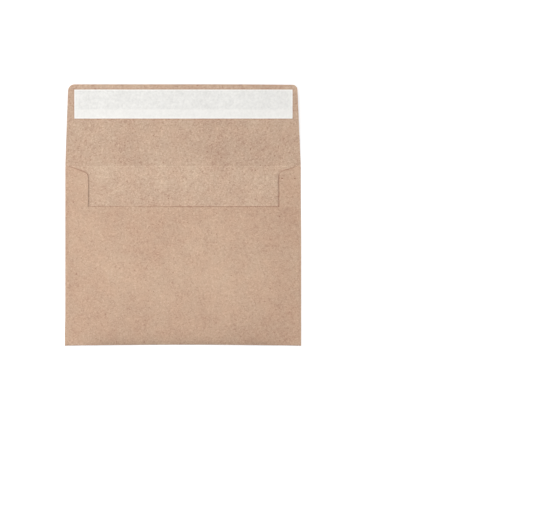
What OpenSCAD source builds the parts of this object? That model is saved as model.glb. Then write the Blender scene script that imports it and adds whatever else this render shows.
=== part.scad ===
// Open paper envelope: one folded kraft sheet with a square flap and a peel-off seal strip.
// The address side lies down, +Y points to the flap, and the origin is the middle of the address panel.

/* [Pocket] */
// Width of the pocket across its side folds
pocket_w = 146.05; // [110:0.05:200]
// Height of the pocket, from its bottom fold to the flap crease
pocket_h = 111.1; // [85:0.1:150]
// Depth of the throat, from the flap crease down to the back flap's edge
throat_d = 25.1; // [16:0.1:38]

/* [Paper] */
// Thickness of the kraft paper
paper_t = 0.16; // [0.1:0.01:0.24]
// Inside radius of the pressed side folds
side_fold_r = 0.05; // [0.03:0.01:0.12]
// Inside radius of the flap crease, opened out again
crease_r = 1.2; // [0.5:0.1:4]

/* [Side flaps] */
// Width of a side flap from its fold to its inner edge
side_flap_w = 13.8; // [9:0.1:20]
// Run of a side flap's top edge beside its fold, level with the crease
shoulder_land = 2.2; // [0.3:0.1:4]
// Angle by which the rest of that edge falls away from the crease
shoulder_fall = 20.2; // [8:0.1:28]
// Radius of a side flap's top inner corner
shoulder_r = 3.2; // [1:0.1:6]
// Distance below the throat at which a side flap starts to narrow
straight_d = 4.5; // [4:0.1:12]
// Distance by which a side flap's foot reaches under the back flap
foot_lap = 0.35; // [0.2:0.05:1]
// Clearance of a side flap's foot from the curve of the bottom fold
foot_gap = 0.35; // [0.2:0.05:0.8]
// Angle at which the side flaps spring up from their folds
side_spring = 2.5; // [1:0.1:4]

/* [Back flap] */
// Inset of the back flap's side edges from the side folds
back_inset = 1.85; // [1.3:0.05:4]
// Sideways offset of the back flap, as the fold came out
back_shift = 0.4; // [0:0.05:0.8]
// Radius of the back flap's two corners at the throat
back_corner_r = 4; // [1:0.5:9]

/* [Top flap] */
// Depth of the top flap, from its crease to its edge
flap_d = 50.7; // [35:0.1:70]
// Inset of the top flap's sides from the side folds at the crease
flap_inset = 0.25; // [0.25:0.05:1.5]
// Further inset of the top flap's sides at its outer edge
flap_taper = 1.8; // [0:0.05:8]
// Radius of the top flap's outer corners
flap_corner_r = 4; // [1:0.5:12]
// Angle at which the opened top flap stands up from the table
flap_lift = 3.75; // [1:0.25:10]

/* [Seal strip] */
// Length of the release liner along the flap's edge
liner_w = 135.2; // [90:0.1:137]
// Height of the release liner
liner_h = 18; // [15:0.5:24]
// Distance from the flap's outer edge to the liner
liner_margin = 3.3; // [2:0.05:8]
// Sideways offset of the seal strip on the flap, as it was laid
strip_shift = 0.3; // [0:0.05:0.8]
// Thickness of the release liner
liner_t = 0.06; // [0.04:0.01:0.12]
// Height of the adhesive band under the liner
adhesive_h = 12.4; // [6:0.1:14]
// Thickness of the adhesive band
adhesive_t = 0.05; // [0.03:0.01:0.1]
// Length of liner left dry at each end of the adhesive
dry_end = 2.5; // [0.5:0.1:6]

/* [Seam glue] */
// Thickness of the glue between a side flap and the back flap
glue_t = 0.04; // [0.02:0.01:0.08]
// Distance from the throat to the top of the glue
glue_drop = 3; // [1:0.5:3.5]
// Distance that the glue keeps from the edges of both flaps
glue_margin = 1.2; // [0.5:0.1:2]
// Width of the glue at its lower end
glue_foot = 2; // [1:0.5:3]

/* [Hidden] */
$fn = 96;

kraft = [0.78, 0.67, 0.57];
liner_white = [0.93, 0.93, 0.91];
adhesive_grey = [0.80, 0.79, 0.76];
glue_clear = [0.88, 0.84, 0.76];

// Room by which cutting solids reach past what they cut
over = 1;
// Height of the cutting solids, above the whole envelope
tall = 20;
// Clearance between the side flaps' inner edges and the bends in the back flap
bend_gap = 0.3;
// Height above the bottom fold at which the back flap's bends start
bend_start = 1.5;
// Clearance at the ends of the bottom fold, where the blank is notched
notch = 0.12;
// Steps in each rounded corner of the blank
corner_steps = 12;

crease_y = pocket_h / 2;
bottom_y = -pocket_h / 2;
mouth_y = crease_y - throat_d;
narrow_y = mouth_y - straight_d;
bend_y = bottom_y + bend_start;

// Side folds: their outer radius and the X of their axes
side_r = side_fold_r + paper_t;
side_x = pocket_w / 2 - side_r;

// Back flap: its half width, and the distances from a fold axis to its nearer and farther side edge
back_half = pocket_w / 2 - back_inset;
near_edge = side_x - back_half - back_shift;
far_edge = side_x - back_half + back_shift;

// Side flap: the distances from its fold axis to its inner edge, above, at its foot and at its toe,
// and how fast it narrows downwards
flap_reach = side_flap_w - side_r;
foot_reach = far_edge + foot_lap;
toe_reach = near_edge - bend_gap;
narrowing = (flap_reach - foot_reach) / (narrow_y - bend_y);

// Back flap: distance of its outer face from the side fold axis, its slope, and its bottom fold
stack_r = side_r + glue_t + paper_t;
back_rise = atan(narrowing * tan(side_spring));
edge_z = side_r + stack_r / cos(side_spring) + (foot_reach + bend_gap) * tan(side_spring);
bottom_r = (edge_z - bend_start * tan(back_rise)) / (1 + 1 / cos(back_rise) - tan(back_rise));
bottom_axis_y = bottom_y + bottom_r;

// Top flap: outer radius of its crease and its half width there
crease_outer_r = crease_r + paper_t;
flap_half = pocket_w / 2 - flap_inset;

function unit(v) = v / norm(v);
function heading(v) = atan2(v[1], v[0]);
function half_turn(a) = (a + 540) % 360 - 180;

// Points of the arc that rounds the corner b between its neighbours a and c
function rounded(a, b, c, r) =
    let(
        u = unit(a - b),
        v = unit(c - b),
        half = acos(u * v) / 2,
        centre = b + unit(u + v) * r / sin(half),
        from = heading(b + u * r / tan(half) - centre),
        turn = half_turn(heading(b + v * r / tan(half) - centre) - from)
    )
    [for (i = [0 : corner_steps])
        centre + r * [cos(from + turn * i / corner_steps), sin(from + turn * i / corner_steps)]];

function mirrored(points) = [for (i = [len(points) - 1 : -1 : 0]) [-points[i][0], points[i][1]]];

// Section of the sheet round one fold: a straight run, a bend by the angle wrap, and a second run.
// The fold's axis is at the origin and r is its inside radius.
module bend_profile(r, wrap, first, second) {
    outer = r + paper_t;
    intersection() {
        difference() {
            circle(outer);
            circle(r);
        }
        translate([0, -2 * outer]) square([2 * outer, 4 * outer]);
        rotate(wrap - 180) translate([0, -2 * outer]) square([2 * outer, 4 * outer]);
    }
    translate([-first, -outer]) square([first, paper_t]);
    rotate(wrap - 180) translate([-second, r]) square([second, paper_t]);
}

// Filled section between front panel and back flap, closed by the bottom fold of radius r
module wrap_profile(r) {
    run = pocket_h;
    intersection() {
        circle(r);
        translate([0, -2 * r]) square([2 * r, 4 * r]);
        rotate(-back_rise) translate([0, -2 * r]) square([2 * r, 4 * r]);
    }
    polygon([
        [0, 0],
        [0, -r],
        [-run, -r],
        [r * sin(back_rise) - run * cos(back_rise), r * cos(back_rise) + run * sin(back_rise)],
        [r * sin(back_rise), r * cos(back_rise)]
    ]);
}

// Outline of the space between the side flaps, where the front panel's inside shows
module throat_outline() {
    corner = [side_x - flap_reach, crease_y - (flap_reach - shoulder_land) * tan(shoulder_fall)];
    start = [side_x - shoulder_land, crease_y];
    narrow = [side_x - flap_reach, narrow_y];
    toe_x = side_x - toe_reach;
    foot = [[toe_x, bottom_y - over], [toe_x, bottom_axis_y + foot_gap], [side_x - foot_reach, bend_y]];
    right = concat(
        foot,
        [narrow],
        rounded(narrow, corner, start, shoulder_r),
        [start, [start[0], crease_y + over]]
    );
    polygon(concat(right, mirrored(right)));
}

// Outline of the back flap, with round corners at the throat
module back_outline() {
    left_x = -back_half + back_shift;
    right_x = back_half + back_shift;
    foot_y = bottom_y - over;
    polygon(concat(
        [[left_x, foot_y], [right_x, foot_y]],
        rounded([right_x, foot_y], [right_x, mouth_y], [left_x, mouth_y], back_corner_r),
        rounded([right_x, mouth_y], [left_x, mouth_y], [left_x, foot_y], back_corner_r)
    ));
}

// Outline of the top flap, with the strip by which it joins the front panel
module flap_outline() {
    base = [flap_half, crease_y];
    tip = [flap_half - flap_taper, crease_y + flap_d];
    right = concat(
        [[flap_half, crease_y - over], base],
        rounded(base, tip, [0, tip[1]], flap_corner_r)
    );
    polygon(concat(right, mirrored(right)));
}

// Everything below the plane that lies at the height h over the sloping side flap's fold axis
module below_side_plane(h) {
    translate([side_x, 0, side_r]) rotate([0, side_spring, 0])
        translate([-pocket_w - tall, -pocket_h, h - tall]) cube([pocket_w + 2 * tall, 2 * pocket_h, tall]);
}

// The filled wrap of back flap and bottom fold, drawn in by a depth from its outer face
module filled_wrap(depth) {
    intersection() {
        translate([-pocket_w / 2, bottom_axis_y, bottom_r]) rotate([90, 0, 90])
            linear_extrude(pocket_w) mirror([1, 0]) wrap_profile(bottom_r - depth);
        below_side_plane(stack_r - depth);
        mirror([1, 0, 0]) below_side_plane(stack_r - depth);
    }
}

// Front panel with both side flaps folded in over it
module front_and_sides() {
    notch_w = 2 * (back_half + notch);
    difference() {
        translate([0, crease_y, side_r]) rotate([90, 0, 0]) linear_extrude(pocket_h) {
            side_section();
            mirror([1, 0]) side_section();
        }
        translate([0, 0, paper_t]) linear_extrude(tall) throat_outline();
        translate([back_shift - notch_w / 2, bottom_y - over, -over])
            cube([notch_w, bottom_r + notch + over, tall]);
    }
}

// Half of the front panel, one side fold and its side flap
module side_section() {
    translate([side_x, 0])
        bend_profile(side_fold_r, 180 - side_spring, side_x + over, flap_reach + over);
}

// Back flap and bottom fold, with a short lap of front panel
module back_and_bottom() {
    intersection() {
        difference() {
            filled_wrap(0);
            filled_wrap(paper_t);
            translate([-pocket_w, bottom_axis_y + over, -over]) cube([2 * pocket_w, pocket_h * 2, over + paper_t]);
        }
        translate([0, 0, -over]) linear_extrude(tall) back_outline();
    }
}

// Top flap and its crease, with a short lap of front panel
module top_flap() {
    intersection() {
        translate([-pocket_w / 2, crease_y, crease_outer_r]) rotate([90, 0, 90])
            linear_extrude(pocket_w) bend_profile(crease_r, flap_lift, over, flap_d + tall);
        translate([0, 0, -over]) linear_extrude(flap_d) flap_outline();
    }
}

module folded_sheet() {
    color(kraft) union() {
        front_and_sides();
        back_and_bottom();
        top_flap();
    }
}

// Places the seal strip on the top flap's inner face: Y runs up the flap from the crease, and Z stands off it
module on_flap() {
    translate([strip_shift, crease_y, crease_outer_r]) rotate([flap_lift, 0, 0])
        translate([0, 0, -crease_r]) children();
}

// Distance up the sloping flap to the liner's upper edge
function liner_top() = (flap_d - liner_margin) / cos(flap_lift);

module seal_adhesive() {
    color(adhesive_grey) on_flap()
        translate([dry_end - liner_w / 2, liner_top() - adhesive_h, 0])
            cube([liner_w - 2 * dry_end, adhesive_h, adhesive_t]);
}

module release_liner() {
    color(liner_white) on_flap()
        translate([-liner_w / 2, liner_top() - liner_h, adhesive_t])
            cube([liner_w, liner_h, liner_t]);
}

// Glue on the right side flap, a band that narrows with the flap
module seam_glue() {
    outer = far_edge + glue_margin;
    top_y = mouth_y - glue_drop;
    foot_y = bend_y + (outer + glue_foot + glue_margin - foot_reach) / narrowing;
    color(glue_clear) translate([side_x, 0, side_r]) rotate([0, side_spring, 0]) translate([0, 0, side_r])
        linear_extrude(glue_t) polygon([
            [-outer, foot_y],
            [-outer, top_y],
            [glue_margin - flap_reach, top_y],
            [glue_margin - flap_reach, narrow_y],
            [-outer - glue_foot, foot_y]
        ]);
}

module seam_glue_right() {
    seam_glue();
}

module seam_glue_left() {
    mirror([1, 0, 0]) seam_glue();
}

folded_sheet();
seal_adhesive();
release_liner();
seam_glue_left();
seam_glue_right();
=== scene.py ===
import math

import bmesh
import bpy
import numpy as np
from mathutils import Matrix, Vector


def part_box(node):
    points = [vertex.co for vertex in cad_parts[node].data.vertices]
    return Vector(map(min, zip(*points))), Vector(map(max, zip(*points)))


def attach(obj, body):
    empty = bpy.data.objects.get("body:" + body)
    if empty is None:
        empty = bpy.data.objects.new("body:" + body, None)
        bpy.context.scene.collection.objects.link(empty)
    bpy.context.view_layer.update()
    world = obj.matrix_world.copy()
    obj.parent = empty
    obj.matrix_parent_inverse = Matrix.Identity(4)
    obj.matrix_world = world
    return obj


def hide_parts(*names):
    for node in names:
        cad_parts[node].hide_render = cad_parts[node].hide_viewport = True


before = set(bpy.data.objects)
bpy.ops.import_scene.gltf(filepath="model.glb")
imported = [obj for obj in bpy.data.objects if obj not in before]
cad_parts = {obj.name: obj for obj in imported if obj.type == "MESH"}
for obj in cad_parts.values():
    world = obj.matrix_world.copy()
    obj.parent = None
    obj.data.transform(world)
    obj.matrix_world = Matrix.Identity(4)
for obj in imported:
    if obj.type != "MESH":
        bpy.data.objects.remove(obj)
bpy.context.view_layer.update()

# Lengths are in millimetres up to the moment a mesh is made, and Blender's are in metres
MM = 0.001


def box_mm(node):
    """Lowest and highest corner of a CAD node, in millimetres."""
    low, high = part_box(node)
    return np.array(low) / MM, np.array(high) / MM


# Sizes read from the frame
sheet_low, sheet_high = box_mm("folded_sheet")
liner_low, liner_high = box_mm("release_liner")
tack_low, tack_high = box_mm("seal_adhesive")
POCKET_W = sheet_high[0] - sheet_low[0]
BOTTOM_Y = sheet_low[1]
CREASE_Y = -BOTTOM_Y
FLAP_D = sheet_high[1] - CREASE_Y
FLAP_RISE = sheet_high[2]

# The sheet's own sizes. The throat and the side flaps follow the photographed envelope, which is a little
# uneven, and the rest is as in the part's source.
PAPER_T = 0.16
SIDE_FOLD_R = 0.05
THROAT_D = 24.95
LEFT_FLAP_W = 14.28
RIGHT_FLAP_W = 13.72
LEFT_FALL = math.radians(20.2)   # slope of the left side flap's shoulder
RIGHT_FALL = math.radians(18.0)
SHOULDER_LAND = 2.5
SHOULDER_R = 3.2
STRAIGHT_D = 4.5
SIDE_SPRING = math.radians(2.5)
BACK_INSET = 1.85
BACK_SHIFT = 0.4
BACK_CORNER_R = 4.0
FLAP_INSET = 0.25
FLAP_TAPER = 1.8
FLAP_CORNER_R = 4.0
GLUE_T = 0.04
BEND_GAP = 0.3
BEND_START = 1.5
NOTCH = 0.12
FOOT_LAP = 0.35
FOOT_GAP = 0.35
LINER_T = 0.06
ADHESIVE_T = 0.05

# How the pocket has settled
ARCH = 1.0               # rise of the pocket's middle off the table
ARCH_RUN = 45.0          # distance over which it rises from a side fold
WAVE = 0.12              # height of the slow waves in the pocket
WAVES = (                # share, length across, length along and phase of each of them
    (1.0, 14.0, 31.0, 0.7), (1.0, 27.0, -12.5, 2.1), (0.7, 9.5, 17.0, 4.0), (0.6, -19.0, 8.5, 1.2),
)
LEFT_SPRING = math.radians(1.2)  # how much further a side flap springs open beside the throat
RIGHT_SPRING = math.radians(0.6)
SPRING_START = 2.0       # distance below the throat's edge at which that begins
BEAD = 0.05              # height of the line that the score left along the crease
BEAD_R = 0.22            # half its width
BEAD_RUN = 3.0           # distance from a side fold over which it rises
ROLL = math.radians(25)  # turn that the back flap takes after the bottom fold
ROLL_RUN = 3.4           # distance over which it takes it
FREE_RUN = 24.0          # distance from the side flaps over which the back flap comes free
REST_GAP = 0.55          # space under the back flap where it lies down at the throat
SMOOTH = 0.06            # softness of the bends in the back flap
BOW = 0.48               # how far the rounder fold draws the bottom edge in
BOW_RUN = 30.0           # distance above that edge over which it still does
BOW_REACH = 70.0         # distance from a side fold over which it comes to that
CORNER_DROP = 0.22       # how far the bottom corners hang out
CORNER_REACH = 16.0      # distance from a side fold over which they do
SPREAD = 0.26            # how far the side folds come out lower down
SPREAD_BAND = (3.0, 1.0) # distances from a fold's axis between which the paper comes to move with it
LEFT_SPREAD = (-36.0, -48.0)   # heights between which the left fold comes out
RIGHT_SPREAD = (40.0, 8.0)

# How the top flap has settled
FLAP_START = math.radians(4.6)   # slope just above the crease
FLAP_EASE = 10.0         # distance over which that slope eases off
FLAP_WAVE = 0.05         # height of the flap's slow waves
FLAP_WAVE_RUN = 18.0     # distance above the crease over which they come up
FLAP_WAVE_SHIFT = 40.0   # shift that sets them apart from the pocket's
FLARE = 0.2              # how far the flap's ends stand out again just above the crease
FLARE_RUN = 0.5          # distance over which they do
RIGHT_TAPER = 2.0        # the right end slants a little more than the left one
RIGHT_CORNER_R = 3.1     # and the corner at its tip is cut a little tighter
TIP_FALL = 0.4           # fall of the tip's edge to its right, of which the flap's end reaches 0.25 mm
TIP_FALL_SHARE = (0.3, 1.5)      # shares of the flap's half width between which it falls

# Tones painted on the sheet, as shares of its colour: darker lines along the cut edges round the throat, each
# partly the darker cut edge and partly painted shade of the gap under it, a painted highlight along the
# crease and painted light in the throat
LEFT_RIM = 0.15          # width of the darker line along the left side flap's inner edge: darker cut edge and painted shade
LEFT_TONE = -0.35
RIGHT_RIM = 0.45         # width of the one along the right side flap's, darker cut edge and painted shade as well
RIGHT_TONE = -0.85
UPPER_RIM = 0.34         # width of the one along the shoulders and the throat's edge, darker cut edge and painted shade as well
UPPER_TONE = -0.80       # its tone along the shoulders
UPPER_BAND = (8.0, 5.0)  # distances below the crease between which the lower line turns into it
LEFT_LIP_TONE = -0.54    # its tone along the throat's edge
RIGHT_LIP_TONE = -0.90
LIP_CHANGE = (-14.0, -4.0)       # places across between which the left tone turns into the right one
CREASE_HIGHLIGHT = 0.11       # tone of the painted highlight along the crease
THROAT_LIGHT = 0.032      # painted light: the throat is a little paler below the crease
THROAT_RISE = 0.4        # distance over which that begins
THROAT_FADE = 0.65       # share of it that is lost at the back flap's edge
THROAT_UNDER = 5.0       # how far it goes on under the back flap

# Mesh: cells of the sheet in general, and where it bends
CELL = 1.35
FOLD_CELL, FOLD_D = 0.5, 8.0           # near the bottom fold
SHOULDER_CELL, SHOULDER_D = 0.35, 8.0  # beside the shoulders
CREASE_CELL, CREASE_D = 0.1, 1.0       # just below the crease
FOOT_D = 0.6                           # just above it, with the same cells
EASE_CELL, EASE_D = 0.4, 6.0           # where the top flap's slope eases off
STRIP_CELL = 0.6                       # across a strip
FOLD_STEPS = 8                         # round a side fold
SPAN_STEPS = 12                        # across a side flap, and round the bottom fold
GLUE_CUTS = 5                          # cuts of each edge of a glue film

# The liner's height over the flap: along its dry edges, and its play on the adhesive
DRY_LIFT = 0.02
LINER_PLAY = 0.005
LINER_STEP = (-0.8, 0.6) # distances inside the adhesive's edge between which it comes up

# Two dark specks on the right side flap: how far each lies from its fold and from the crease
SPECKS = ((11.8, 7.6), (3.9, 7.6))
SPECK_SHAPE = (0.6, 1, 1)        # they are longer across
SPECK_EDGE = (0.42, 0.16)        # distances from the middle at which one begins and is full
SPECK_TONE = -0.75

# Values that follow from those
SIDE_R = SIDE_FOLD_R + PAPER_T
SIDE_X = POCKET_W / 2 - SIDE_R
MOUTH_Y = CREASE_Y - THROAT_D
NARROW_Y = MOUTH_Y - STRAIGHT_D
BEND_Y = BOTTOM_Y + BEND_START
BACK_HALF = POCKET_W / 2 - BACK_INSET
LEFT_X = -BACK_HALF + BACK_SHIFT
RIGHT_X = BACK_HALF + BACK_SHIFT
FLAP_HALF = POCKET_W / 2 - FLAP_INSET
NEAR_EDGE = SIDE_X - BACK_HALF - BACK_SHIFT
FAR_EDGE = SIDE_X - BACK_HALF + BACK_SHIFT
LEFT_REACH = LEFT_FLAP_W - SIDE_R
RIGHT_REACH = RIGHT_FLAP_W - SIDE_R
FOOT_REACH = FAR_EDGE + FOOT_LAP
NARROWING = (LEFT_REACH - FOOT_REACH) / (NARROW_Y - BEND_Y)
STACK_R = SIDE_R + GLUE_T + PAPER_T
BACK_RISE = math.atan(NARROWING * math.tan(SIDE_SPRING))
EDGE_Z = SIDE_R + STACK_R / math.cos(SIDE_SPRING) + (FOOT_REACH + BEND_GAP) * math.tan(SIDE_SPRING)
BOTTOM_R = (EDGE_Z - BEND_START * math.tan(BACK_RISE)) / 2
AXIS_Y = BOTTOM_Y + BOTTOM_R


def smoothstep(low, high, value):
    """0 up to low and 1 from high on, with a soft step between them."""
    t = np.clip((value - low) / (high - low), 0, 1)
    return t * t * (3 - 2 * t)


def smooth_min(a, b, width):
    """The lesser of two values, rounded where they are closer than width."""
    h = np.clip(width - np.abs(a - b), 0, None) / width
    return np.minimum(a, b) - h * h * width / 4


def waves(x, y):
    """Slow unevenness of the paper, from 0 to 1: a few long waves that cross each other."""
    total = sum(share * np.sin(x / across + y / along + phase) for share, across, along, phase in WAVES)
    return 0.5 + total / (2 * sum(wave[0] for wave in WAVES))


def arch(distance, run):
    """A rise from 0 at an edge to 1 at a distance run from it, level there."""
    return 1 - (1 - np.clip(distance / run, 0, 1)) ** 2


def pocket_lift(x, y):
    """How far every layer of the pocket is raised off the flat form at a place."""
    across = arch(SIDE_X - np.abs(x), ARCH_RUN)
    along = arch(CREASE_Y - np.abs(y), CREASE_Y)
    return across * along * (ARCH + WAVE * waves(x, y))


def crease_bead(x, y):
    """Height of the fine line along the crease."""
    line = np.exp(-((y - CREASE_Y + BEAD_R) / BEAD_R) ** 2)
    return BEAD * line * smoothstep(0, BEAD_RUN, SIDE_X - np.abs(x))


def flap_height(d):
    """Height of the top flap above its crease, at a distance d from it in plan."""
    rise = FLAP_RISE - PAPER_T
    eased = FLAP_EASE * (1 - math.exp(-FLAP_D / FLAP_EASE))
    slope = (rise - math.tan(FLAP_START) * eased) / (FLAP_D - eased)
    return slope * d + (math.tan(FLAP_START) - slope) * FLAP_EASE * (1 - np.exp(-d / FLAP_EASE))


def flap_lift(x, y):
    """How far the top flap waves up from its smooth curve."""
    return FLAP_WAVE * waves(x, y + FLAP_WAVE_SHIFT) * smoothstep(0, FLAP_WAVE_RUN, y - CREASE_Y)


def steps(low, high, cell):
    """Even places from low to high, about a cell apart."""
    return np.linspace(low, high, max(1, round((high - low) / cell)) + 1)


def rounded(a, b, c, r, count=12):
    """Points of the arc of radius r that rounds the corner b between its neighbours a and c."""
    a, b, c = (np.array(p, float) for p in (a, b, c))
    u = (a - b) / np.linalg.norm(a - b)
    v = (c - b) / np.linalg.norm(c - b)
    half = math.acos(float(u @ v)) / 2
    middle = (u + v) / np.linalg.norm(u + v)
    centre = b + middle * r / math.sin(half)
    first, last = b + u * r / math.tan(half) - centre, b + v * r / math.tan(half) - centre
    start = math.atan2(first[1], first[0])
    turn = (math.atan2(last[1], last[0]) - start + 3 * math.pi) % (2 * math.pi) - math.pi
    angles = start + turn * np.arange(count + 1) / count
    return centre + r * np.stack([np.cos(angles), np.sin(angles)], 1)


FLAT_MAP = "Blank"       # the mesh's map of the flat blank
OUTER_SIDE = 0.6         # how far to the right its outer side lies there, in metres
TONE = "Tone"            # the mesh's painted tones: darker cut edges with painted shade, a painted highlight and painted light
NEAR_PARTS = 40          # parts in which distances are worked out, to save memory


class Sheet:
    """A sheet of paper in the making: its middle surface, with each point's place in the flat blank."""

    def __init__(self):
        self.points, self.flat, self.faces = [], [], []

    def add(self, points, flat):
        """Adds a row or grid of points and returns their numbers in the same layout."""
        points, flat = np.asarray(points, float), np.asarray(flat, float)
        start = len(self.points)
        self.points.extend(points.reshape(-1, 3))
        self.flat.extend(flat.reshape(-1, 2))
        return np.arange(start, len(self.points)).reshape(points.shape[:-1])

    def fill(self, grid, keep=None):
        """Adds the four-cornered faces of a grid of point numbers, inner side up in the flat blank."""
        faces = np.stack([grid[:-1, :-1], grid[:-1, 1:], grid[1:, 1:], grid[1:, :-1]], -1)
        if keep is not None:
            faces = faces[keep]
        faces = faces.reshape(-1, 4)
        corners = np.array(self.flat)[faces]
        a, b = corners[:, 2] - corners[:, 0], corners[:, 3] - corners[:, 1]
        if (a[:, 0] * b[:, 1] - a[:, 1] * b[:, 0]).sum() < 0:
            faces = faces[:, ::-1]
        self.faces.extend(faces)

    def solid(self, name, thickness, shade=None):
        """Makes the closed mesh object of the sheet, half the thickness to each side of its middle."""
        faces = np.array(self.faces)
        used = np.unique(faces)
        points, flat = np.array(self.points)[used], np.array(self.flat)[used]
        faces = np.searchsorted(used, faces)
        first, second, third, fourth = (points[faces[:, k]] for k in range(4))
        across = np.cross(third - first, fourth - second)
        normals = np.zeros_like(points)
        for k in range(4):
            np.add.at(normals, faces[:, k], across / np.linalg.norm(across, axis=1, keepdims=True))
        normals /= np.linalg.norm(normals, axis=1, keepdims=True)
        count = len(points)
        edges = {}
        for face in faces:
            for k in range(4):
                edges[(face[k], face[(k + 1) % 4])] = True
        rim = [(i, j) for i, j in edges if (j, i) not in edges]
        walls = [(i, i + count, j + count, j) for i, j in rim]
        half = normals * thickness / 2
        solid_points = np.concatenate([points + half, points - half])
        all_faces = [tuple(f) for f in faces] + [tuple(f[::-1] + count) for f in faces] + walls
        mesh = bpy.data.meshes.new(name)
        mesh.from_pydata((solid_points * MM).tolist(), [], [tuple(int(i) for i in f) for f in all_faces])
        mesh.polygons.foreach_set("use_smooth", np.ones(len(all_faces), bool))
        self.lay_flat(mesh, np.concatenate([flat, flat]), len(faces))
        if shade:
            # The tones painted on the sheet: darker cut edges with painted shade, a painted highlight along
            # the crease and painted light in the throat
            tone = shade(flat, flat[np.array(rim)])
            cut_edge_and_painted_light = mesh.attributes.new(TONE, "FLOAT", "POINT")
            cut_edge_and_painted_light.data.foreach_set("value", np.concatenate([tone, tone]))
        sharp = {frozenset((i, j)) for i, j in rim}
        sharp |= {frozenset((i + count, j + count)) for i, j in rim}
        marks = mesh.attributes.new("sharp_edge", "BOOLEAN", "EDGE")
        marks.data.foreach_set("value", [frozenset(e.vertices) in sharp for e in mesh.edges])
        mesh.update()
        piece = bpy.data.objects.new(name, mesh)
        bpy.context.scene.collection.objects.link(piece)
        return piece

    @staticmethod
    def lay_flat(mesh, flat, inner_count):
        """Gives the mesh a map of the flat blank, in metres. The outer side lies apart from the inner."""
        loops = np.zeros(len(mesh.loops), int)
        mesh.loops.foreach_get("vertex_index", loops)
        places = flat[loops] * MM
        starts = np.zeros(len(mesh.polygons), int)
        mesh.polygons.foreach_get("loop_start", starts)
        places[starts[inner_count]:, 0] += OUTER_SIDE
        layer = mesh.uv_layers.new(name=FLAT_MAP, do_init=False)
        layer.uv.foreach_set("vector", places.astype(np.float32).ravel())


def edge_line(x, y):
    """Width and tone of the darker line along a side flap's edge at a place: the cut edge's own darkness with
    painted shade.
    """
    right = smoothstep(-1, 1, x)
    upper = smoothstep(CREASE_Y - UPPER_BAND[0], CREASE_Y - UPPER_BAND[1], y)
    width = LEFT_RIM + (RIGHT_RIM - LEFT_RIM) * right
    tone = LEFT_TONE + (RIGHT_TONE - LEFT_TONE) * right
    return width + (UPPER_RIM - width) * upper, tone + (UPPER_TONE - tone) * upper


def nearness(flat, rim, width):
    """1 on the given stretches of the cut edge, falling to 0 at a distance width from them."""
    start, along = rim[:, 0], rim[:, 1] - rim[:, 0]
    length = np.maximum((along ** 2).sum(1), 1e-9)
    nearest = []
    for part in np.array_split(flat, NEAR_PARTS):
        gap = part[:, None, :] - start[None, :, :]
        share = np.clip((gap * along).sum(2) / length, 0, 1)
        nearest.append(np.sqrt(((gap - share[:, :, None] * along) ** 2).sum(2)).min(1))
    return np.clip(1 - np.concatenate(nearest) / width, 0, 1)


def cut_edge_and_painted_light_tone(flat, rim):
    """Painted tone of the sheet at each point: darker along the cut edges round the throat, partly the cut
    edge and partly painted shade of the gap under it, a painted highlight along the crease and painted light
    in the throat below it."""
    rim_u, rim_v = rim.mean(1).T
    side = rim[np.abs(rim_u) > SIDE_X + SHOULDER_LAND]
    mouth = rim[(rim_v < BOTTOM_Y) & (rim_u > LEFT_REACH - SIDE_X) & (rim_u < SIDE_X - RIGHT_REACH)]
    u, v = flat.T
    crease = np.exp(-((v - CREASE_Y + BEAD_R / 2) / BEAD_R) ** 2) * (np.abs(u) < FLAP_HALF)
    width, tone = edge_line(u, v)
    lip = LEFT_LIP_TONE + (RIGHT_LIP_TONE - LEFT_LIP_TONE) * smoothstep(*LIP_CHANGE, u)
    below = CREASE_Y - v
    throat = smoothstep(0, THROAT_RISE, below) * np.clip(1 - THROAT_FADE * below / THROAT_D, 0, 1)
    throat[(below > THROAT_D + THROAT_UNDER) | (np.abs(u) >= SIDE_X)] = 0
    return (tone * nearness(flat, side, width) + lip * nearness(flat, mouth, UPPER_RIM)
            + CREASE_HIGHLIGHT * crease + THROAT_LIGHT * throat)


def front_panel(sheet):
    """The address panel. Returns its rows, its columns and its grid of point numbers."""
    columns = np.concatenate([
        [-SIDE_X, -FLAP_HALF, LEFT_RIM - FLAP_HALF, LEFT_X - NOTCH, LEFT_X],
        steps(LEFT_X + LEFT_RIM, RIGHT_X - LEFT_RIM, CELL),
        [RIGHT_X, RIGHT_X + NOTCH, FLAP_HALF - LEFT_RIM, FLAP_HALF, SIDE_X],
    ])
    rows = np.concatenate([
        [BOTTOM_Y],
        steps(AXIS_Y, BEND_Y, FOLD_CELL),
        steps(BEND_Y, CREASE_Y - SHOULDER_D, CELL)[1:],
        steps(CREASE_Y - SHOULDER_D, CREASE_Y - CREASE_D, SHOULDER_CELL)[1:],
        steps(CREASE_Y - CREASE_D, CREASE_Y, CREASE_CELL)[1:],
    ])
    x, y = np.meshgrid(columns, rows)
    z = PAPER_T / 2 + pocket_lift(x, y) + crease_bead(x, y)
    grid = sheet.add(np.stack([x, y, z], -1), np.stack([x, y], -1))
    # Between the notches the bottom fold starts at the second row
    keep = np.ones((len(rows) - 1, len(columns) - 1), bool)
    keep[0] = (columns[:-1] < LEFT_X - NOTCH * 1.5) | (columns[1:] > RIGHT_X + NOTCH * 1.5)
    sheet.fill(grid, keep)
    return rows, columns, grid


def side_reach(rows, reach, fall):
    """Distance from the fold's axis to a side flap's inner edge, at each row."""
    corner = (reach, CREASE_Y - (reach - SHOULDER_LAND) * math.tan(fall))
    start = (SHOULDER_LAND, CREASE_Y)
    narrow = (reach, NARROW_Y)
    toe = NEAR_EDGE - BEND_GAP
    foot = [(toe, BOTTOM_Y), (toe, AXIS_Y + FOOT_GAP), (FOOT_REACH, BEND_Y)]
    outline = np.concatenate([foot, [narrow], rounded(narrow, corner, start, SHOULDER_R), [start]])
    return np.interp(rows, outline[:, 1], outline[:, 0])


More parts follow.
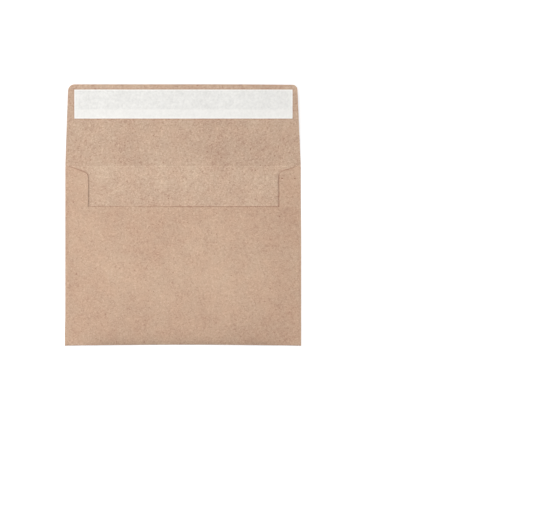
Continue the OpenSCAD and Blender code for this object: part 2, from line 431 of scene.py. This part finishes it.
def side_flap(sheet, rows, edge, side, reach, fall, opening):
    """One side flap with its fold. edge holds the front panel's point numbers at the fold."""
    middle_r = SIDE_FOLD_R + PAPER_T / 2
    spring = (SIDE_SPRING + opening * smoothstep(MOUTH_Y - SPRING_START, CREASE_Y, rows))[:, None]
    turns = np.linspace(0, 1, FOLD_STEPS + 1)[1:]
    spans = np.linspace(0, 1, SPAN_STEPS + 1)[1:]
    angle = np.concatenate([turns, np.ones(len(spans) + 1)])[None, :] * (math.pi - spring)
    reach = side_reach(rows, reach, fall)
    width = edge_line(side, rows)[0] * np.hypot(1, np.gradient(reach, rows))
    inside = reach - np.minimum(width, reach / 2)
    run = np.concatenate([
        np.zeros((len(rows), len(turns))),
        spans[None, :] * inside[:, None],
        reach[:, None],
    ], 1)
    x = SIDE_X + middle_r * np.sin(angle) - run * np.cos(spring)
    z = SIDE_R - middle_r * np.cos(angle) + run * np.sin(spring)
    y = np.repeat(rows[:, None], x.shape[1], 1)
    u = SIDE_X + middle_r * angle + run
    z = z + pocket_lift(x, y)
    grid = sheet.add(np.stack([side * x, y, z], -1), np.stack([side * u, y], -1))
    sheet.fill(np.concatenate([edge[:, None], grid], 1))


def back_base(x, y):
    """Height of the back flap's middle where it lies tight over the side flaps."""
    stack = SIDE_R + (STACK_R - PAPER_T / 2) / math.cos(SIDE_SPRING)
    over = stack + (SIDE_X - np.abs(x)) * math.tan(SIDE_SPRING)
    between = EDGE_Z - PAPER_T / 2 + (y - BEND_Y) * math.tan(BACK_RISE)
    return smooth_min(between, over, SMOOTH)


def freedom(x, y):
    """0 where the back flap is held over the side flaps, 1 well inside them."""
    held = np.minimum(FOOT_REACH + NARROWING * (y - BEND_Y), LEFT_REACH) + BEND_GAP
    return smoothstep(0, FREE_RUN, SIDE_X - np.abs(x) - held)


def back_flap(sheet, columns, edge):
    """The bottom fold and the back flap. edge holds the front panel's point numbers at the fold."""
    width = RIGHT_X - LEFT_X
    share = (columns - LEFT_X) / width
    outer_r = (back_base(columns, AXIS_Y) + PAPER_T / 2) / 2
    middle_r = outer_r - PAPER_T / 2
    turn = ROLL * freedom(columns, AXIS_Y)
    angle = np.linspace(0, 1, SPAN_STEPS + 1)[1:, None] * (math.pi - BACK_RISE - turn)[None, :]
    y = AXIS_Y - middle_r * np.sin(angle)
    z = outer_r - middle_r * np.cos(angle)
    x = np.repeat(columns[None, :], len(angle), 0)
    v = AXIS_Y - middle_r * angle
    end_y, end_z, end_v = y[-1], z[-1], v[-1]
    fold = sheet.add(np.stack([x, y, z + pocket_lift(x, y)], -1), np.stack([x, v], -1))
    corner_y = MOUTH_Y - BACK_CORNER_R
    corner = rounded((RIGHT_X, AXIS_Y), (RIGHT_X, MOUTH_Y), (LEFT_X, MOUTH_Y), BACK_CORNER_R)
    rows = np.concatenate([
        steps(AXIS_Y, AXIS_Y + FOLD_D, FOLD_CELL)[1:],
        steps(AXIS_Y + FOLD_D, corner_y, CELL)[1:],
        corner[1:, 1],
    ])
    inset = RIGHT_X - np.interp(rows, corner[:, 1], corner[:, 0])
    x = LEFT_X + inset[:, None] + share[None, :] * (width - 2 * inset[:, None])
    s = (MOUTH_Y - end_y)[None, :] * ((rows - AXIS_Y) / (MOUTH_Y - AXIS_Y))[:, None]
    y = end_y[None, :] + s
    rolled = ROLL * ROLL_RUN * (1 - np.exp(-s / ROLL_RUN))
    drop = back_base(0, MOUTH_Y) + ROLL * ROLL_RUN - (PAPER_T * 1.5 + REST_GAP)
    settled = rolled - drop * smoothstep(0, MOUTH_Y - BOTTOM_Y, s)
    z = back_base(x, y) + (end_z - back_base(columns, end_y))[None, :] + settled * freedom(x, y)
    v = end_v[None, :] - s
    panel = sheet.add(np.stack([x, y, z + pocket_lift(x, y)], -1), np.stack([x, v], -1))
    sheet.fill(np.concatenate([edge[None, :], fold, panel], 0))


def top_flap(sheet, columns, edge):
    """The top flap, open. edge holds the front panel's point numbers at the crease."""
    foot, side = (FLAP_HALF, 0), (FLAP_HALF + FLARE, FLARE_RUN)
    corner = rounded(side, (FLAP_HALF - FLAP_TAPER, FLAP_D), (0, FLAP_D), FLAP_CORNER_R)
    right_corner = rounded(side, (FLAP_HALF - RIGHT_TAPER, FLAP_D), (0, FLAP_D), RIGHT_CORNER_R)
    rows = np.concatenate([
        steps(0, FOOT_D, CREASE_CELL)[1:],
        steps(FOOT_D, EASE_D, EASE_CELL)[1:],
        steps(EASE_D, corner[0, 1], CELL)[1:],
        corner[1:, 1],
    ])
    left, right = np.array([foot, side, *corner]), np.array([foot, side, *right_corner])
    left_half = np.interp(rows, left[:, 1], left[:, 0])[:, None]
    right_half = np.interp(rows, right[:, 1], right[:, 0])[:, None]
    share = (columns / FLAP_HALF)[None, :]
    x = share * np.where(share < 0, left_half, right_half)
    y = CREASE_Y + rows[:, None] * (1 - TIP_FALL / FLAP_D * smoothstep(*TIP_FALL_SHARE, share))
    z = PAPER_T / 2 + flap_height(y - CREASE_Y) + flap_lift(x, y) + crease_bead(x, y)
    grid = sheet.add(np.stack([x, y, z], -1), np.stack([x, y], -1))
    sheet.fill(np.concatenate([edge[None, :], grid], 0))


def bow_in(sheet):
    """Draws the middle of the bottom edge in, as the rounder fold there takes up paper, and lets its corners
    hang out."""
    points = np.array(sheet.points)
    inward = SIDE_X - np.abs(points[:, 0])
    moved = BOW * arch(inward, BOW_REACH) ** 2 - CORNER_DROP * (1 - arch(inward, CORNER_REACH)) ** 2
    near = np.clip(1 - (points[:, 1] - BOTTOM_Y) / BOW_RUN, 0, 1)
    points[:, 1] += moved * near ** 2
    sheet.points = list(points)


def spread_out(sheet):
    """Lets the side folds out a little towards the bottom."""
    points = np.array(sheet.points)
    x, y = points[:, 0], points[:, 1]
    near = smoothstep(SIDE_X - SPREAD_BAND[0], SIDE_X - SPREAD_BAND[1], np.abs(x))
    outward = np.where(x < 0, -smoothstep(*LEFT_SPREAD, y), smoothstep(*RIGHT_SPREAD, y))
    points[:, 0] += SPREAD * near * outward
    sheet.points = list(points)


def make_sheet():
    """The folded sheet of kraft paper, one closed mesh."""
    sheet = Sheet()
    rows, columns, grid = front_panel(sheet)
    side_flap(sheet, rows, grid[:, -1], 1, RIGHT_REACH, RIGHT_FALL, RIGHT_SPRING)
    side_flap(sheet, rows, grid[:, 0], -1, LEFT_REACH, LEFT_FALL, LEFT_SPRING)
    back = (columns > LEFT_X - NOTCH / 2) & (columns < RIGHT_X + NOTCH / 2)
    back_flap(sheet, columns[back], grid[1, back])
    flap = np.abs(columns) < FLAP_HALF + NOTCH / 2
    top_flap(sheet, columns[flap], grid[-1, flap])
    bow_in(sheet)
    spread_out(sheet)
    return sheet.solid("kraft_sheet", PAPER_T, cut_edge_and_painted_light_tone)


def make_strip(name, low, high, lift, thickness):
    """A thin strip that lies on the top flap, between two corners, lift above the flap's face."""
    strip = Sheet()
    x, y = np.meshgrid(steps(low[0], high[0], CELL), steps(low[1], high[1], STRIP_CELL))
    z = PAPER_T + flap_height(y - CREASE_Y) + flap_lift(x, y) + lift(x, y) + thickness / 2
    strip.fill(strip.add(np.stack([x, y, z], -1), np.stack([x, y], -1)))
    return strip.solid(name, thickness)


def liner_lift(x, y):
    """Height of the liner over the flap: up on the adhesive, lower along its dry edges."""
    ends = smoothstep(*LINER_STEP, np.minimum(x - tack_low[0], tack_high[0] - x))
    edge = smoothstep(*LINER_STEP, y - tack_low[1])
    return DRY_LIFT + (ADHESIVE_T + LINER_PLAY - DRY_LIFT) * ends * edge


def make_glue(name, node):
    """A film of seam glue, lifted with the layers that it joins."""
    made = bmesh.new()
    made.from_mesh(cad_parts[node].data)
    bmesh.ops.remove_doubles(made, verts=made.verts, dist=1e-7)
    bmesh.ops.subdivide_edges(made, edges=made.edges, cuts=GLUE_CUTS, use_grid_fill=True)
    for vert in made.verts:
        vert.co.z += float(pocket_lift(vert.co.x / MM, vert.co.y / MM)) * MM
    mesh = bpy.data.meshes.new(name)
    made.to_mesh(mesh)
    made.free()
    piece = bpy.data.objects.new(name, mesh)
    bpy.context.scene.collection.objects.link(piece)
    return piece


# The kraft's layers of noise from clouds to grain: size in millimetres, detail, roughness and seed of each
KRAFT_LAYERS = ((40, 2, 0.5, 201.0), (10, 3, 0.6, 2.0), (3.2, 3, 0.6, 3.0), (0.75, 2, 0.6, 4.0))
KRAFT_WEIGHTS = (0.36, 0.27, 0.17, 0.62)
KRAFT_HUE = (9, 2, 0.6, 6.0)
MOTTLE_HEIGHT, LIGHT_HEIGHT, DARK_HEIGHT = 0.35, 0.25, 0.2     # in the relief, where the grain's is 1
TONE_BY_CHANNEL = (0.69, 1.0, 1.03)    # how strongly the tone acts on red, green and blue
INNER_TONE, OUTER_TONE = 1.18, -0.24   # strength of the mottling inside, and what the outer side adds to it
INNER_TINTS = (0.594, 0.411, 0.298, 1), (0.583, 0.417, 0.306, 1)
OUTER_TINTS = (0.591, 0.397, 0.282, 1), (0.580, 0.403, 0.290, 1)
TINT_STEP = (-0.2, 0.2)

# Its fibres, with lengths and widths in millimetres
FIBRE_TURNS = (0.2, 1.15, 2.0, 2.8)
LIGHT_TURN = 0.45        # angle between a dark fibre's direction and a light one's
DARK_FIBRE = (2.8, 0.55)
LIGHT_FIBRE = (2.4, 0.50)
FIBRE_BEND = 0.35        # scale of the noise that bends them
FIBRE_EDGE = (0.42, 0.18)
FIBRE_RARITY = 0.88      # share of cells that hold none
FIBRE_TONE = 0.20
DARK_SEED, LIGHT_SEED = 10.0, 20.0

# Its small specks: size of the cells, where a speck begins and is full, share of cells without, and tone
FLECK_SIZE = 3.0
FLECK_EDGE = (0.16, 0.08)
FLECK_RARITY = 0.94
FLECK_TONE = -0.34

# The lines along the liner's outline, a painted shadow on the kraft and a painted highlight on the liner's
# rim: distances at which each begins and is full, and tone
BORDER_EDGE = (1.0, 0.4)
BORDER_TONE = -0.14
RIM_EDGE = (1.0, 0.5)
RIM_TONE, RIM_OVER_TONE = 0.065, 0.06  # where it is dry, and what the adhesive adds

# The liner: its noises, and its look where it is dry and over the adhesive
LINER_CLOUD, LINER_FINE = (9, 3, 0.6, 32.0), (1.4, 2, 0.6, 33.0)
CLOUD_WEIGHT, FINE_WEIGHT = 0.14, 0.36
LINER_WOBBLE = (6, 2, 0.5, 31.0)
WOBBLE = 0.8             # how far the adhesive's outline wanders, in millimetres
OVER_STEP = (-0.6, 0.9)  # distances inside that outline between which it shows through
END_LOSS = 0.35          # share of it that is lost beyond the adhesive's ends
DRY_TONE, OVER_TONE = 0.58, 0.42       # strength of the clouds where it is dry, and what the adhesive adds
DRY_TINT, OVER_TINT = (0.914, 0.900, 0.866, 1), (0.860, 0.850, 0.821, 1)

# The films of adhesive and glue
FILM_CLOUD = (3.0, 3, 0.6, 41.0)
FILM_PALE = 1.15         # how much paler their clouds are
SEAL_LOOK = (0.60, 0.58, 0.53), 0.35   # colour and roughness
GLUE_LOOK = (0.66, 0.58, 0.45), 0.45

# The floor: size in metres, distance under the part in millimetres, paint, and glow for the camera
FLOOR_SIZE = 6.0
FLOOR_DROP = 0.05
FLOOR_PAINT = 0.82
FLOOR_GLOW = 0.40


class Nodes:
    """The node tree of a material or a world, with short calls for the nodes that it uses."""

    def __init__(self, owner):
        owner.use_nodes = True
        self.owner = owner
        self.tree = owner.node_tree
        self.tree.nodes.clear()

    def add(self, kind, inputs=None, **settings):
        node = self.tree.nodes.new(kind)
        for key, value in settings.items():
            setattr(node, key, value)
        for key, value in (inputs or {}).items():
            self.feed(node.inputs[key], value)
        return node

    def feed(self, socket, value):
        if isinstance(value, bpy.types.NodeSocket):
            self.tree.links.new(value, socket)
        else:
            socket.default_value = value

    def math(self, operation, a, b=0.0, c=0.0):
        node = self.add("ShaderNodeMath", operation=operation)
        for socket, value in zip(node.inputs, (a, b, c)):
            self.feed(socket, value)
        return node.outputs[0]

    def vector(self, operation, a, b=None):
        inputs = {0: a} if b is None else {0: a, 1: b}
        node = self.add("ShaderNodeVectorMath", inputs, operation=operation)
        return node.outputs["Value" if operation == "LENGTH" else "Vector"]

    def scaled(self, colour, factor):
        """A colour or vector times one number."""
        node = self.add("ShaderNodeVectorMath", {0: colour, "Scale": factor}, operation="SCALE")
        return node.outputs[0]

    def mix(self, factor, a, b):
        node = self.add("ShaderNodeMix", data_type="RGBA")
        self.feed(node.inputs[0], factor)
        self.feed(node.inputs[6], a)
        self.feed(node.inputs[7], b)
        return node.outputs[2]

    def flat_place(self, turn=0.0, stretch=(1.0, 1.0), seed=0.0):
        """The place on the flat blank in millimetres, turned and stretched for marks that lie one way."""
        place = self.add("ShaderNodeUVMap", uv_map=FLAT_MAP)
        mapping = self.add("ShaderNodeMapping", {
            "Vector": place.outputs[0],
            "Location": (seed * 17.3, seed * 29.1, 0),
            "Rotation": (0, 0, turn),
            "Scale": (1 / MM, 1 / MM, 1),
        })
        if stretch == (1.0, 1.0):
            return mapping.outputs[0]
        return self.vector("MULTIPLY", mapping.outputs[0], (*stretch, 1))

    def noise(self, place, size, detail, rough, seed):
        """Noise about zero whose largest features are about size millimetres across."""
        node = self.add("ShaderNodeTexNoise", {
            "Vector": place, "Scale": 1 / size, "Detail": detail, "Roughness": rough, "W": seed,
        }, noise_dimensions="4D")
        return self.math("SUBTRACT", node.outputs[0], 0.5)

    def ramp(self, value, low, high):
        node = self.add("ShaderNodeMapRange", {
            "Value": value, "From Min": low, "From Max": high, "To Min": 0.0, "To Max": 1.0,
        }, interpolation_type="SMOOTHSTEP")
        return node.outputs[0]

    def bump(self, height, strength, depth):
        """The normal that a relief of the given depth in millimetres gives."""
        inputs = {"Strength": strength, "Distance": depth * MM, "Height": height}
        return self.add("ShaderNodeBump", inputs).outputs[0]

    def surface(self, **inputs):
        shader = self.add("ShaderNodeBsdfPrincipled")
        for key, value in inputs.items():
            self.feed(shader.inputs[key.replace("_", " ")], value)
        out = self.add("ShaderNodeOutputMaterial")
        self.tree.links.new(shader.outputs[0], out.inputs[0])
        return self.owner


def filled_cells(nodes, place, size, edge, rarity):
    """Spots in the middle of some cells of the given size: 1 on a spot, 0 beside it. The edge runs between
    two shares of a cell, and rarity is the share of cells that hold none."""
    cells = nodes.add("ShaderNodeTexVoronoi", {"Vector": place, "Scale": 1 / size}, voronoi_dimensions="2D")
    pick = nodes.add("ShaderNodeSeparateColor", {"Color": cells.outputs["Color"]})
    return nodes.math("MULTIPLY", nodes.ramp(cells.outputs["Distance"], *edge),
                      nodes.math("GREATER_THAN", pick.outputs[0], rarity))


def fibres(nodes, angle, length, width, seed):
    """Sparse short fibres lying at one angle: 1 on a fibre, 0 beside it."""
    place = nodes.flat_place(angle, (1 / length, 1 / width), seed)
    bend = nodes.add("ShaderNodeTexNoise", {"Vector": place, "Scale": FIBRE_BEND, "Detail": 1.0},
                     noise_dimensions="2D")
    bent = nodes.vector("ADD", place, bend.outputs[1])
    return filled_cells(nodes, bent, 1.0, FIBRE_EDGE, FIBRE_RARITY)


def inside_liner(nodes, parts):
    """How far a place lies inside the liner's outline, in millimetres. It is negative outside."""
    across = nodes.math("MINIMUM", nodes.math("SUBTRACT", parts.outputs[0], liner_low[0]),
                        nodes.math("SUBTRACT", liner_high[0], parts.outputs[0]))
    along = nodes.math("MINIMUM", nodes.math("SUBTRACT", parts.outputs[1], liner_low[1]),
                       nodes.math("SUBTRACT", liner_high[1], parts.outputs[1]))
    return nodes.math("MINIMUM", across, along)


def kraft_material():
    """Unbleached kraft: clouded, mottled, with fine grain and scattered light and dark fibres, with the
    sheet's painted tones and a painted shadow along the liner.
    """
    nodes = Nodes(bpy.data.materials.new("kraft_paper"))
    place = nodes.flat_place()
    layers = [nodes.noise(place, *look) for look in KRAFT_LAYERS]
    mottle, grain = layers[2:]
    tone = 0.0
    for layer, weight in zip(layers, KRAFT_WEIGHTS):
        tone = nodes.math("MULTIPLY_ADD", layer, weight, tone)
    dark, light = 0.0, 0.0
    for number, angle in enumerate(FIBRE_TURNS):
        more_dark = fibres(nodes, angle, *DARK_FIBRE, DARK_SEED + number)
        more_light = fibres(nodes, angle + LIGHT_TURN, *LIGHT_FIBRE, LIGHT_SEED + number)
        dark = nodes.math("MAXIMUM", dark, more_dark)
        light = nodes.math("MAXIMUM", light, more_light)
    tone = nodes.math("MULTIPLY_ADD", dark, -FIBRE_TONE, tone)
    tone = nodes.math("MULTIPLY_ADD", light, FIBRE_TONE, tone)
    flecks = filled_cells(nodes, place, FLECK_SIZE, FLECK_EDGE, FLECK_RARITY)
    tone = nodes.math("MULTIPLY_ADD", flecks, FLECK_TONE, tone)
    parts = nodes.add("ShaderNodeSeparateXYZ", {"Vector": place})
    outside = nodes.math("GREATER_THAN", parts.outputs[0], OUTER_SIDE / MM / 2)
    tone = nodes.math("MULTIPLY", tone, nodes.math("MULTIPLY_ADD", outside, OUTER_TONE, INNER_TONE))
    # The sheet's painted tones: darker cut edges with painted shade along them, a painted highlight along the
    # crease and painted light in the throat
    cut_edge_and_painted_light = nodes.add("ShaderNodeAttribute", attribute_name=TONE)
    tone = nodes.math("ADD", tone, cut_edge_and_painted_light.outputs["Fac"])
    # A painted shadow on the kraft along the liner's outline
    liner_shadow = nodes.ramp(nodes.math("ABSOLUTE", inside_liner(nodes, parts)), *BORDER_EDGE)
    tone = nodes.math("MULTIPLY_ADD", liner_shadow, BORDER_TONE, tone)
    for across, down in SPECKS:
        centre = (OUTER_SIDE / MM + SIDE_X + across, CREASE_Y - down, 0)
        oval = nodes.vector("MULTIPLY", nodes.vector("SUBTRACT", place, centre), SPECK_SHAPE)
        speck = nodes.ramp(nodes.vector("LENGTH", oval), *SPECK_EDGE)
        tone = nodes.math("MULTIPLY_ADD", speck, SPECK_TONE, tone)
    tint = nodes.ramp(nodes.noise(place, *KRAFT_HUE), *TINT_STEP)
    paper = nodes.mix(outside, nodes.mix(tint, *INNER_TINTS), nodes.mix(tint, *OUTER_TINTS))
    factor = nodes.vector("ADD", nodes.scaled(TONE_BY_CHANNEL, tone), (1.0, 1.0, 1.0))
    height = grain
    for layer, share in ((mottle, MOTTLE_HEIGHT), (light, LIGHT_HEIGHT), (dark, DARK_HEIGHT)):
        height = nodes.math("MULTIPLY_ADD", layer, share, height)
    return nodes.surface(
        Base_Color=nodes.vector("MULTIPLY", paper, factor),
        Roughness=nodes.math("MULTIPLY_ADD", mottle, 0.2, 0.8),
        Normal=nodes.bump(height, strength=0.5, depth=0.04),
        Specular_IOR_Level=0.25,
    )


def liner_material():
    """White release paper: whiter where it is dry, greyer and faintly clouded over the adhesive, with a
    painted highlight along its rim.
    """
    nodes = Nodes(bpy.data.materials.new("liner_paper"))
    place = nodes.flat_place()
    parts = nodes.add("ShaderNodeSeparateXYZ", {"Vector": place})
    wobble = nodes.noise(place, *LINER_WOBBLE)
    x, y = (nodes.math("MULTIPLY_ADD", wobble, WOBBLE, parts.outputs[axis]) for axis in (0, 1))
    start, full = OVER_STEP
    over = nodes.ramp(y, tack_low[1] + start, tack_low[1] + full)
    ends = nodes.math("MULTIPLY", nodes.ramp(x, tack_low[0] + start, tack_low[0] + full),
                      nodes.ramp(x, tack_high[0] - start, tack_high[0] - full))
    over = nodes.math("MULTIPLY", over, nodes.math("MULTIPLY_ADD", ends, END_LOSS, 1 - END_LOSS))
    cloud, fine = nodes.noise(place, *LINER_CLOUD), nodes.noise(place, *LINER_FINE)
    tone = 0.0
    for layer, weight in ((fine, FINE_WEIGHT), (cloud, CLOUD_WEIGHT)):
        tone = nodes.math("MULTIPLY_ADD", layer, weight, tone)
    strength = nodes.math("MULTIPLY_ADD", over, OVER_TONE, DRY_TONE)
    tone = nodes.math("ADD", nodes.math("MULTIPLY", tone, strength), 1.0)
    # A painted highlight along the liner's rim
    rim = nodes.ramp(inside_liner(nodes, parts), *RIM_EDGE)
    tone = nodes.math("MULTIPLY_ADD", rim, nodes.math("MULTIPLY_ADD", over, RIM_OVER_TONE, RIM_TONE), tone)
    return nodes.surface(
        Base_Color=nodes.scaled(nodes.mix(over, DRY_TINT, OVER_TINT), tone),
        Roughness=nodes.math("MULTIPLY_ADD", cloud, 0.15, 0.5),
        Normal=nodes.bump(fine, strength=0.25, depth=0.03),
        Specular_IOR_Level=0.35,
    )


def adhesive_material(name, colour, rough):
    """Clear tacky film, a little cloudy."""
    nodes = Nodes(bpy.data.materials.new(name))
    place = nodes.add("ShaderNodeTexCoord")
    mapping = nodes.add("ShaderNodeMapping", {
        "Vector": place.outputs["Object"],
        "Scale": (1 / MM, 1 / MM, 1 / MM),
    })
    cloud = nodes.noise(mapping.outputs[0], *FILM_CLOUD)
    pale = [min(1.0, channel * FILM_PALE) for channel in colour]
    tint = nodes.mix(nodes.ramp(cloud, *TINT_STEP), (*colour, 1), (*pale, 1))
    return nodes.surface(Base_Color=tint, Roughness=rough, Normal=nodes.bump(cloud, strength=0.3, depth=0.02))


def floor_material():
    """Pale floor that shows white to the camera and keeps the part's shadow."""
    nodes = Nodes(bpy.data.materials.new("floor"))
    shown = nodes.add("ShaderNodeLightPath")
    through = nodes.math("MAXIMUM", shown.outputs["Is Glossy Ray"], shown.outputs["Is Transmission Ray"])
    seen = nodes.math("MAXIMUM", shown.outputs["Is Camera Ray"], through)
    paint = nodes.add("ShaderNodeBsdfDiffuse", {"Color": (FLOOR_PAINT, FLOOR_PAINT, FLOOR_PAINT, 1)})
    glow = nodes.add("ShaderNodeEmission", {
        "Color": (1, 1, 1, 1),
        "Strength": nodes.math("MULTIPLY", seen, FLOOR_GLOW),
    })
    both = nodes.add("ShaderNodeAddShader", {0: paint.outputs[0], 1: glow.outputs[0]})
    out = nodes.add("ShaderNodeOutputMaterial")
    nodes.tree.links.new(both.outputs[0], out.inputs[0])
    return nodes.owner


def make_floor():
    half, height = FLOOR_SIZE / 2, -FLOOR_DROP * MM
    corners = [(x * half, y * half, height) for x, y in ((-1, -1), (1, -1), (1, 1), (-1, 1))]
    mesh = bpy.data.meshes.new("floor")
    mesh.from_pydata(corners, [], [(0, 1, 2, 3)])
    floor = bpy.data.objects.new("floor", mesh)
    bpy.context.scene.collection.objects.link(floor)
    floor.data.materials.append(floor_material())


# The photograph's frame: its size, where the part lies in it, and its scale
IMAGE_W, IMAGE_H = 533, 517
MM_PER_PIXEL = 0.6202
MIDLINE_PX = 183.05
CREASE_PX = 166.3
CAMERA_HEIGHT = 2.4      # in metres
SENSOR = 36.0
CLIP_START = 0.05        # in metres

# Each lamp: name, place, aim, size and power, in metres and watts
LAMPS = (
    ("key", (-0.06, 1.30, 1.60), (0, 0.02, 0), 1.20, 13.9),
    ("side", (-0.25, -0.01, 0.36), (0, 0, 0), 0.36, 0.60),
    ("fill", (0.90, 0.05, 1.07), (0, 0, 0), 0.50, 1.60),
)
SURROUND = 0.465         # strength of the surround beside the part
SURROUND_SLOPE = 0.36    # and what it gains towards +Y


def make_camera():
    """A long lens straight above the middle of the photograph's frame."""
    x = (IMAGE_W / 2 - MIDLINE_PX) * MM_PER_PIXEL
    y = CREASE_Y - (IMAGE_H / 2 - CREASE_PX) * MM_PER_PIXEL
    camera = bpy.data.objects.new("camera", bpy.data.cameras.new("camera"))
    camera.location = (x * MM, y * MM, CAMERA_HEIGHT)
    camera.data.sensor_width = SENSOR
    camera.data.lens = SENSOR * CAMERA_HEIGHT / (IMAGE_W * MM_PER_PIXEL * MM)
    camera.data.clip_start = CLIP_START
    bpy.context.scene.collection.objects.link(camera)
    bpy.context.scene.camera = camera


def make_lamp(name, place, aim, size, power):
    lamp = bpy.data.objects.new(name, bpy.data.lights.new(name, "AREA"))
    lamp.data.shape = "DISK"
    lamp.data.size = size
    lamp.data.energy = power
    direction = np.array(aim) - np.array(place)
    flat = math.hypot(direction[0], direction[1])
    lamp.location = place
    turn = math.atan2(direction[1], direction[0]) - math.pi / 2
    lamp.rotation_euler = (math.atan2(flat, -direction[2]), 0, turn)
    bpy.context.scene.collection.objects.link(lamp)


def make_light():
    """Soft studio light: wide surround, paler towards the top of the picture, and three soft lamps."""
    for lamp in LAMPS:
        make_lamp(*lamp)
    world = bpy.data.worlds.new("surround")
    bpy.context.scene.world = world
    nodes = Nodes(world)
    towards = nodes.add("ShaderNodeTexCoord")
    parts = nodes.add("ShaderNodeSeparateXYZ", {"Vector": towards.outputs["Generated"]})
    light = nodes.math("MULTIPLY_ADD", parts.outputs[1], SURROUND_SLOPE, SURROUND)
    seen = nodes.add("ShaderNodeLightPath").outputs["Is Camera Ray"]
    strength = nodes.math("MAXIMUM", light, seen)
    background = nodes.add("ShaderNodeBackground", {"Color": (1, 1, 1, 1), "Strength": strength})
    out = nodes.add("ShaderNodeOutputWorld")
    nodes.tree.links.new(background.outputs[0], out.inputs[0])


def dress(piece, material, slot, *nodes):
    """Gives a piece its finish and lets it stand for the CAD nodes that it replaces."""
    piece.data.materials.append(material)
    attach(piece, "root")
    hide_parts(*nodes)


def make_part():
    dress(make_sheet(), kraft_material(), "kraft_paper", "folded_sheet")
    adhesive = make_strip("tacky_band", tack_low, tack_high, lambda x, y: 0 * x, ADHESIVE_T)
    dress(adhesive, adhesive_material("seal_adhesive", *SEAL_LOOK), "seal_adhesive", "seal_adhesive")
    dress(make_strip("peel_strip", liner_low, liner_high, liner_lift, LINER_T),
          liner_material(), "liner_paper", "release_liner")
    glue = adhesive_material("seam_glue", *GLUE_LOOK)
    dress(make_glue("glue_left", "seam_glue_left"), glue, "seam_glue", "seam_glue_left")
    dress(make_glue("glue_right", "seam_glue_right"), glue, "seam_glue", "seam_glue_right")


make_camera()
make_part()
make_floor()
make_light()
bpy.context.scene.view_settings.view_transform = "Standard"
